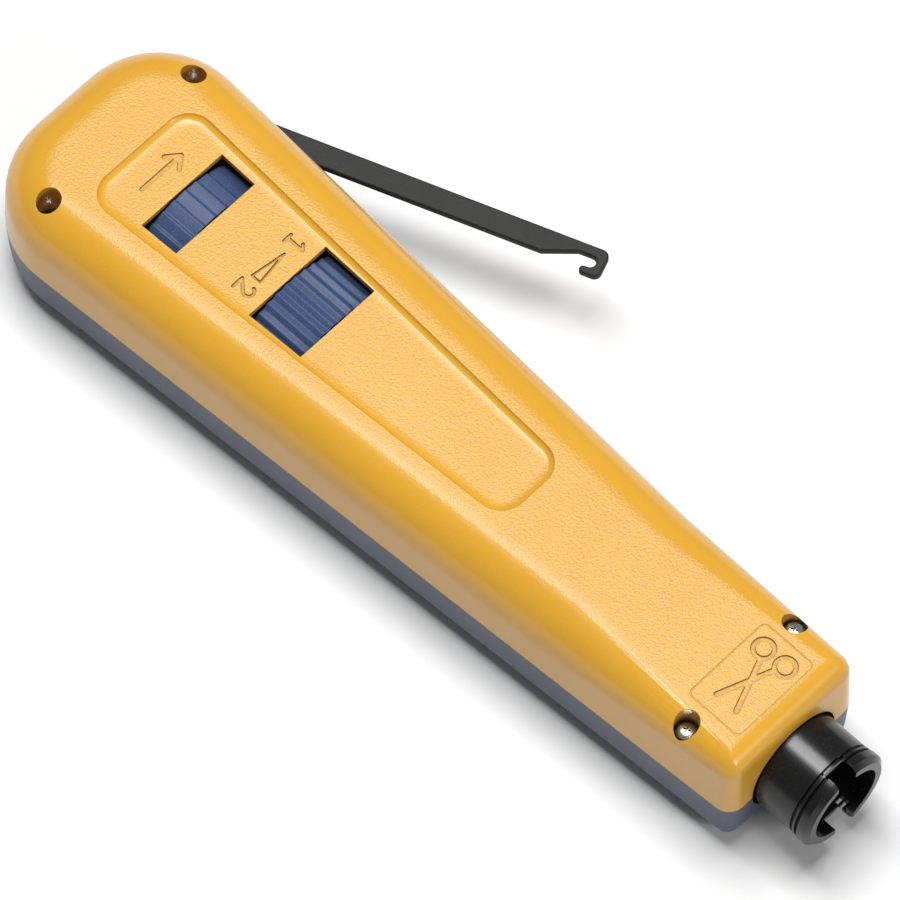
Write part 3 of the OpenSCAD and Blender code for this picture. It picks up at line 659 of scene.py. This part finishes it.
def make_screws(node, name):
    """A pair of pan-head screws with a domed head and a tapered cross recess."""
    lo, hi = (Vector(corner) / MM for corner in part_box(node))
    x = (lo.x + hi.x) / 2
    across = (lo.y + SCREW_HEAD_R, hi.y - SCREW_HEAD_R)
    rim_z = hi.z - SCREW_HEAD
    profile = [(r, rim_z + h) for r, h in SCREW_DOME]
    profile += [(SCREW_HEAD_R, rim_z + 0.5), (SCREW_HEAD_R, rim_z + 0.12),
                (SCREW_HEAD_R - 0.12, rim_z), (SCREW_SHANK_R, rim_z), (SCREW_SHANK_R, lo.z + 0.5),
                (SCREW_SHANK_R - 0.5, lo.z), (0, lo.z)]

    def build(bm):
        for y in across:
            lathe(bm, profile, SCREW_STEPS, (x, y))

    def recess(bm):
        for y in across:
            for turn in RECESS_TURNS:
                added = bmesh.ops.create_cone(
                    bm, cap_ends=True, segments=4, radius1=RECESS_BOTTOM_R * MM,
                    radius2=RECESS_TOP_R * MM, depth=RECESS_DEPTH * MM)
                squeeze = (Matrix.Translation((x * MM, y * MM, (hi.z - RECESS_MIDDLE) * MM))
                           @ Matrix.Rotation(radians(turn), 4, "Z")
                           @ Matrix.Diagonal((1, RECESS_SLIMNESS, 1, 1))
                           @ Matrix.Rotation(radians(45), 4, "Z"))
                bmesh.ops.transform(bm, matrix=squeeze, verts=added["verts"])

    piece = new_piece(name, mesh_from(name, build))
    cut(piece, new_piece("recess", mesh_from("recess", recess)))
    smooth(piece, 30)
    place_piece(piece, node, "handle", "screw_steel")


make_front_shell()
make_rear_shell()
make_screws("nose_screws", "nose_screw_pair")
make_screws("butt_screws", "butt_screw_pair")
make_rounded("blade_socket", "socket_barrel", "plunger", "black_socket", 0.12)
make_rounded("impact_selector", "impact_thumb_piece", "selector", "thumb_plastic", 0.15)
make_rounded("release_ring", "release_thumb_piece", "release", "thumb_plastic", 0.15)
make_rounded("hook_blade", "folding_hook", "hook", "blade_black", 0.3)
make_rounded("spudger_blade", "folding_spudger", "spudger", "blade_black", 0.3)

# The other CAD nodes keep their form and get the finish of their slot
slot_of = {part["node"]: part["material_slot"] for part in frame["record"]["subparts"]}
for node, cad in nodes.items():
    if node not in DRESSED:
        for material_slot in cad.material_slots:
            material_slot.material = FINISHES[slot_of[node]]


# ---------------------------------------------------------------- floor, light and camera

def make_floor():
    """A wide level floor, a hair below the tool's back; sizes in metres."""
    half = 3.0
    floor_z = BACK_Z * MM - 0.0002

    def build(bm):
        corners = [(-half, -half), (half, -half), (half, half), (-half, half)]
        bm.faces.new([bm.verts.new((x, y, floor_z)) for x, y in corners])
    floor = new_piece("studio_floor", mesh_from("studio_floor", build))
    floor.data.materials.append(pale_floor())


def softbox(name, direction, distance, size, watts):
    """Rectangular light aimed at the tool from a direction; its first side lies along the tool."""
    data = bpy.data.lights.new(name, "AREA")
    data.shape = "RECTANGLE"
    data.size, data.size_y = size
    data.energy = watts
    lamp = bpy.data.objects.new(name, data)
    bpy.context.scene.collection.objects.link(lamp)
    way = Vector(direction).normalized()
    across = way.cross((1, 0, 0)).normalized()
    aim = Matrix((across.cross(way), across, way)).transposed().to_4x4()
    lamp.matrix_world = Matrix.Translation(LOOK_AT + way * distance) @ aim


def make_light():
    """A large softbox overhead, a strip for the glints, a fill on the nose and a dim surround."""
    softbox("overhead_softbox", direction=(-0.15, 0.08, 0.98), distance=1.1, size=(0.72, 0.52),
            watts=14.5)
    softbox("edge_strip", direction=(-0.2, -0.05, 0.98), distance=1.05, size=(0.7, 0.06),
            watts=1.2)
    softbox("nose_fill", direction=(0.85, 0.1, 0.45), distance=1.2, size=(0.3, 0.3), watts=5)
    world = bpy.data.worlds.new("studio_world")
    world.use_nodes = True
    surround = world.node_tree.nodes["Background"]
    surround.inputs["Color"].default_value = (1, 1, 1, 1)
    surround.inputs["Strength"].default_value = 0.19
    bpy.context.scene.world = world


def make_camera():
    """The photograph's camera: direction, distance and lens as fitted to it."""
    data = bpy.data.cameras.new("photo_camera")
    data.sensor_fit = "HORIZONTAL"
    data.sensor_width = 36
    data.lens = LENS
    data.clip_end = 20
    camera = bpy.data.objects.new("photo_camera", data)
    bpy.context.scene.collection.objects.link(camera)
    view = Vector((-cos(ELEVATION) * sin(AZIMUTH), cos(ELEVATION) * cos(AZIMUTH), -sin(ELEVATION)))
    camera.location = LOOK_AT - view * DISTANCE
    camera.rotation_euler = view.to_track_quat("-Z", "Y").to_euler()
    bpy.context.scene.camera = camera


make_floor()
make_light()
make_camera()
bpy.context.scene.view_settings.view_transform = "Standard"

bpy.context.view_layer.update()
